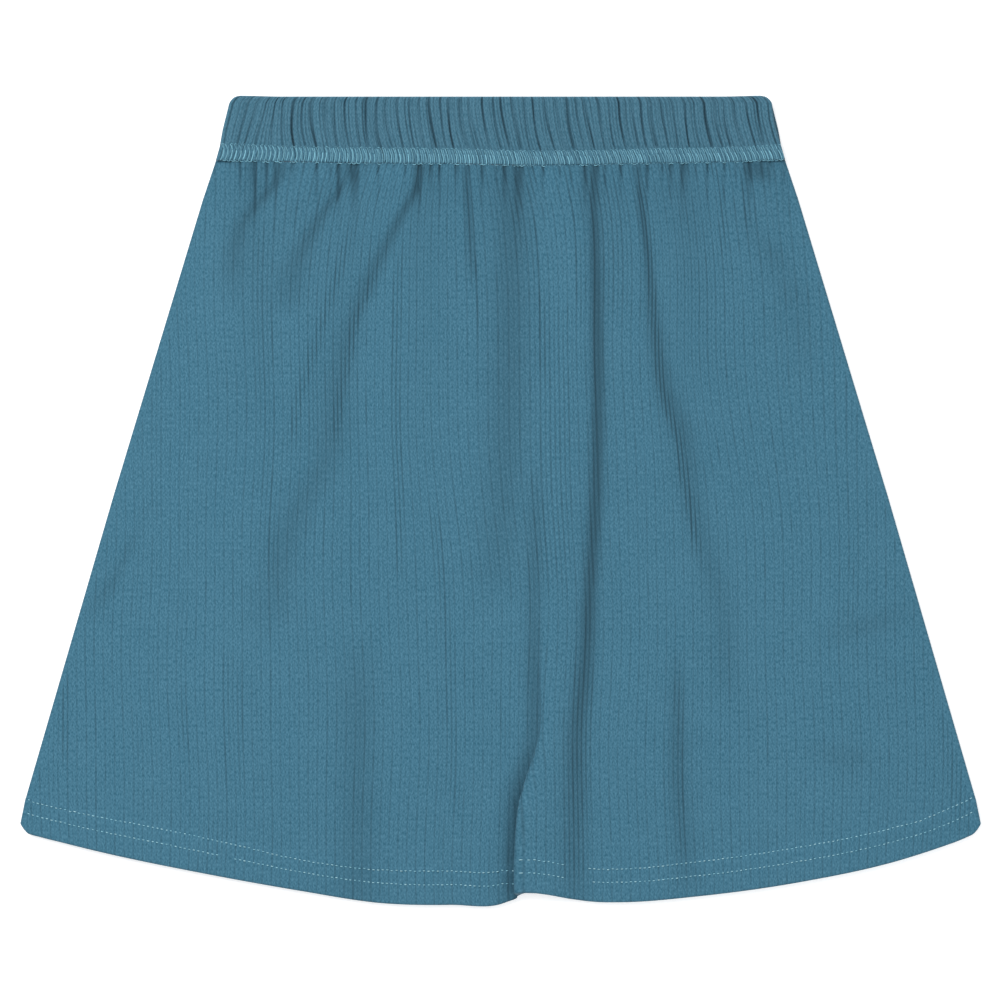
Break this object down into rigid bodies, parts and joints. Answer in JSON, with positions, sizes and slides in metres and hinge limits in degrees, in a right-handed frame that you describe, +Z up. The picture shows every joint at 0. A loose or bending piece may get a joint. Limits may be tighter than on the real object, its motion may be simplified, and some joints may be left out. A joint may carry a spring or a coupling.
{
  "type": "a-line skirt",
  "caption": "Child's pull-on a-line skirt in fine rib knit, laid flat: gathered elastic waistband, soft folds, curved turned-up hem.",
  "frame": {"origin": "on the surface under the middle of the outline, at the bottom centre of the bounding box", "axes": "+X across the skirt, +Y from the hem towards the waistband, +Z up out of the front panel, away from the surface it lies on"},
  "size_m": [0.4808, 0.4054, 0.0104],
  "materials": {
    "rib_knit": "dusty teal fine rib knit, matt with a soft nap, straight vertical ribs",
    "band_knit": "the same dusty teal rib knit drawn into gathers over elastic, slightly darker in its creases"
  },
  "bodies": {
    "root": {"front_panel": "rib_knit", "back_panel": "rib_knit", "waistband_front": "band_knit", "waistband_back": "band_knit"}
  },
  "joints": []
}
